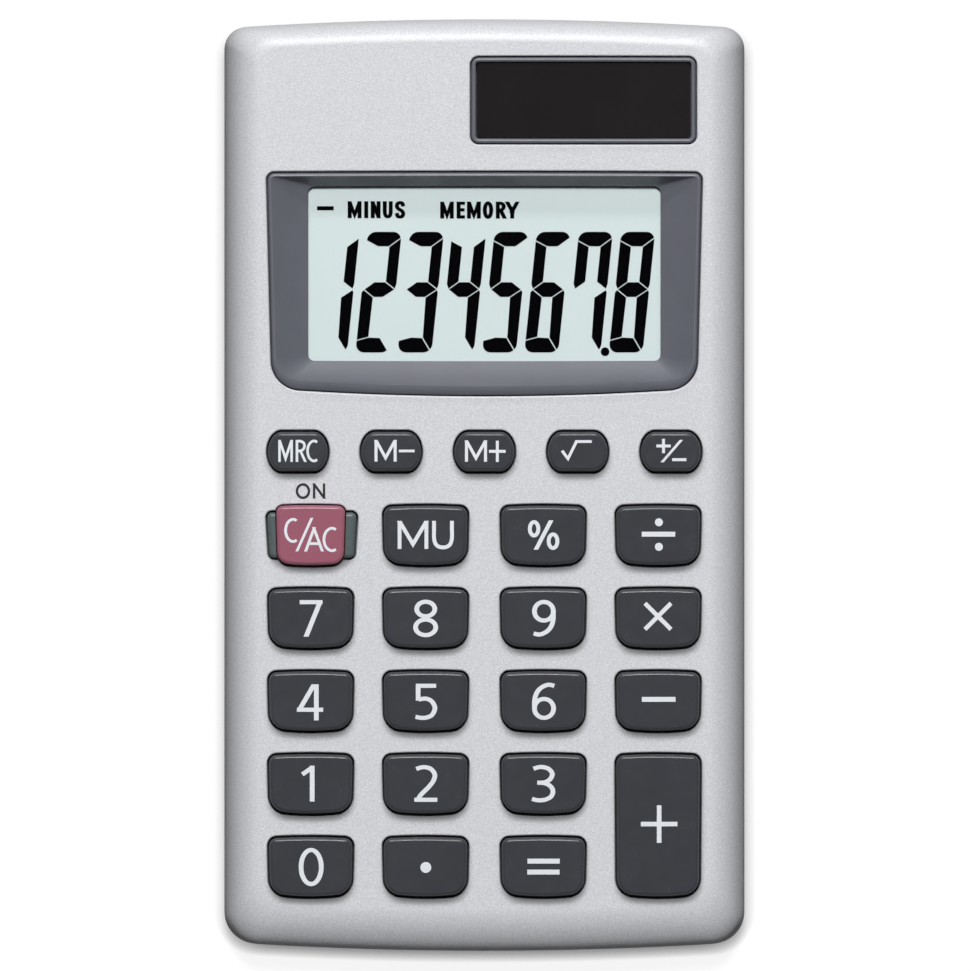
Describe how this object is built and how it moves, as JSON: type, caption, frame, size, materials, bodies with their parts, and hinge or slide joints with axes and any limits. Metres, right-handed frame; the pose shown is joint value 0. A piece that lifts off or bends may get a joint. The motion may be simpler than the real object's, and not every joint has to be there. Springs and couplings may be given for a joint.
{
  "type": "pocket calculator",
  "caption": "Flat pocket calculator with a silver case, dark keys that press, a sunken digit display in a slate bezel, and a solar window above it.",
  "frame": {"origin": "under the middle of the back, on the surface that it lies on", "axes": "+X to the right of a person reading the keys, +Y to the display end, +Z out of the key face"},
  "size_m": [0.057, 0.102, 0.0091],
  "materials": {
    "silver_paint": "silver paint with a fine sparkle over moulded plastic",
    "grey_plastic": "fine moulded texture, light grey",
    "dark_plastic": "satin charcoal key plastic",
    "rose_plastic": "satin rose key plastic",
    "guard_plastic": "satin grey-green plastic",
    "slate_plastic": "satin slate grey plastic",
    "clear_plastic": "clear polished acrylic",
    "polariser_film": "thin grey polarising film",
    "lcd_glass": "thin float glass",
    "reflector_film": "pale grey-green reflecting film",
    "dark_rubber": "layered conducting rubber",
    "solar_glass": "dark amorphous cell on glass",
    "red_insulation": "red insulated wire",
    "black_insulation": "black insulated wire",
    "board_laminate": "green board laminate",
    "keypad_rubber": "pale silicone rubber",
    "black_resin": "black moulding resin",
    "component_ceramic": "tan component ceramic",
    "steel": "plated steel"
  },
  "bodies": {
    "root": {"front_case": "silver_paint", "rear_cover": "grey_plastic", "case_screw_1": "steel", "case_screw_2": "steel", "case_screw_3": "steel", "case_screw_4": "steel", "case_screw_5": "steel", "case_screw_6": "steel", "clear_key_guard": "guard_plastic", "display_bezel": "slate_plastic", "display_window": "clear_plastic", "lcd_front_polariser": "polariser_film", "lcd_front_glass": "lcd_glass", "lcd_rear_glass": "lcd_glass", "lcd_reflector": "reflector_film", "lcd_connector": "dark_rubber", "solar_frame": "slate_plastic", "solar_window": "clear_plastic", "solar_cell": "solar_glass", "solar_wire_positive": "red_insulation", "solar_wire_negative": "black_insulation", "circuit_board": "board_laminate", "rubber_keypad": "keypad_rubber", "chip_cover": "black_resin", "solar_capacitor": "black_resin", "display_capacitor": "component_ceramic", "timing_resistor": "component_ceramic", "limiter_diode": "component_ceramic", "battery": "steel", "battery_contact_positive": "steel", "battery_contact_negative": "steel"},
    "memory_recall": {"key_memory_recall": "dark_plastic"},
    "memory_minus": {"key_memory_minus": "dark_plastic"},
    "memory_plus": {"key_memory_plus": "dark_plastic"},
    "square_root": {"key_square_root": "dark_plastic"},
    "sign_change": {"key_sign_change": "dark_plastic"},
    "clear": {"key_clear": "rose_plastic"},
    "mark_up": {"key_mark_up": "dark_plastic"},
    "percent": {"key_percent": "dark_plastic"},
    "divide": {"key_divide": "dark_plastic"},
    "seven": {"key_7": "dark_plastic"},
    "eight": {"key_8": "dark_plastic"},
    "nine": {"key_9": "dark_plastic"},
    "multiply": {"key_multiply": "dark_plastic"},
    "four": {"key_4": "dark_plastic"},
    "five": {"key_5": "dark_plastic"},
    "six": {"key_6": "dark_plastic"},
    "minus": {"key_minus": "dark_plastic"},
    "one": {"key_1": "dark_plastic"},
    "two": {"key_2": "dark_plastic"},
    "three": {"key_3": "dark_plastic"},
    "plus": {"key_plus": "dark_plastic"},
    "zero": {"key_0": "dark_plastic"},
    "decimal_point": {"key_decimal_point": "dark_plastic"},
    "equals": {"key_equals": "dark_plastic"}
  },
  "joints": [
    {"name": "press_memory_recall", "type": "slide", "parent": "root", "child": "memory_recall", "axis": [0, 0, -1], "range_m": [0, 0.0009], "stiffness_N_per_m": 400, "deforming": ["rubber_keypad"]},
    {"name": "press_memory_minus", "type": "slide", "parent": "root", "child": "memory_minus", "axis": [0, 0, -1], "range_m": [0, 0.0009], "stiffness_N_per_m": 400, "deforming": ["rubber_keypad"]},
    {"name": "press_memory_plus", "type": "slide", "parent": "root", "child": "memory_plus", "axis": [0, 0, -1], "range_m": [0, 0.0009], "stiffness_N_per_m": 400, "deforming": ["rubber_keypad"]},
    {"name": "press_square_root", "type": "slide", "parent": "root", "child": "square_root", "axis": [0, 0, -1], "range_m": [0, 0.0009], "stiffness_N_per_m": 400, "deforming": ["rubber_keypad"]},
    {"name": "press_sign_change", "type": "slide", "parent": "root", "child": "sign_change", "axis": [0, 0, -1], "range_m": [0, 0.0009], "stiffness_N_per_m": 400, "deforming": ["rubber_keypad"]},
    {"name": "press_clear", "type": "slide", "parent": "root", "child": "clear", "axis": [0, 0, -1], "range_m": [0, 0.0009], "stiffness_N_per_m": 400, "deforming": ["rubber_keypad"]},
    {"name": "press_mark_up", "type": "slide", "parent": "root", "child": "mark_up", "axis": [0, 0, -1], "range_m": [0, 0.0009], "stiffness_N_per_m": 400, "deforming": ["rubber_keypad"]},
    {"name": "press_percent", "type": "slide", "parent": "root", "child": "percent", "axis": [0, 0, -1], "range_m": [0, 0.0009], "stiffness_N_per_m": 400, "deforming": ["rubber_keypad"]},
    {"name": "press_divide", "type": "slide", "parent": "root", "child": "divide", "axis": [0, 0, -1], "range_m": [0, 0.0009], "stiffness_N_per_m": 400, "deforming": ["rubber_keypad"]},
    {"name": "press_seven", "type": "slide", "parent": "root", "child": "seven", "axis": [0, 0, -1], "range_m": [0, 0.0009], "stiffness_N_per_m": 400, "deforming": ["rubber_keypad"]},
    {"name": "press_eight", "type": "slide", "parent": "root", "child": "eight", "axis": [0, 0, -1], "range_m": [0, 0.0009], "stiffness_N_per_m": 400, "deforming": ["rubber_keypad"]},
    {"name": "press_nine", "type": "slide", "parent": "root", "child": "nine", "axis": [0, 0, -1], "range_m": [0, 0.0009], "stiffness_N_per_m": 400, "deforming": ["rubber_keypad"]},
    {"name": "press_multiply", "type": "slide", "parent": "root", "child": "multiply", "axis": [0, 0, -1], "range_m": [0, 0.0009], "stiffness_N_per_m": 400, "deforming": ["rubber_keypad"]},
    {"name": "press_four", "type": "slide", "parent": "root", "child": "four", "axis": [0, 0, -1], "range_m": [0, 0.0009], "stiffness_N_per_m": 400, "deforming": ["rubber_keypad"]},
    {"name": "press_five", "type": "slide", "parent": "root", "child": "five", "axis": [0, 0, -1], "range_m": [0, 0.0009], "stiffness_N_per_m": 400, "deforming": ["rubber_keypad"]},
    {"name": "press_six", "type": "slide", "parent": "root", "child": "six", "axis": [0, 0, -1], "range_m": [0, 0.0009], "stiffness_N_per_m": 400, "deforming": ["rubber_keypad"]},
    {"name": "press_minus", "type": "slide", "parent": "root", "child": "minus", "axis": [0, 0, -1], "range_m": [0, 0.0009], "stiffness_N_per_m": 400, "deforming": ["rubber_keypad"]},
    {"name": "press_one", "type": "slide", "parent": "root", "child": "one", "axis": [0, 0, -1], "range_m": [0, 0.0009], "stiffness_N_per_m": 400, "deforming": ["rubber_keypad"]},
    {"name": "press_two", "type": "slide", "parent": "root", "child": "two", "axis": [0, 0, -1], "range_m": [0, 0.0009], "stiffness_N_per_m": 400, "deforming": ["rubber_keypad"]},
    {"name": "press_three", "type": "slide", "parent": "root", "child": "three", "axis": [0, 0, -1], "range_m": [0, 0.0009], "stiffness_N_per_m": 400, "deforming": ["rubber_keypad"]},
    {"name": "press_plus", "type": "slide", "parent": "root", "child": "plus", "axis": [0, 0, -1], "range_m": [0, 0.0009], "stiffness_N_per_m": 600, "deforming": ["rubber_keypad"]},
    {"name": "press_zero", "type": "slide", "parent": "root", "child": "zero", "axis": [0, 0, -1], "range_m": [0, 0.0009], "stiffness_N_per_m": 400, "deforming": ["rubber_keypad"]},
    {"name": "press_decimal_point", "type": "slide", "parent": "root", "child": "decimal_point", "axis": [0, 0, -1], "range_m": [0, 0.0009], "stiffness_N_per_m": 400, "deforming": ["rubber_keypad"]},
    {"name": "press_equals", "type": "slide", "parent": "root", "child": "equals", "axis": [0, 0, -1], "range_m": [0, 0.0009], "stiffness_N_per_m": 400, "deforming": ["rubber_keypad"]}
  ]
}
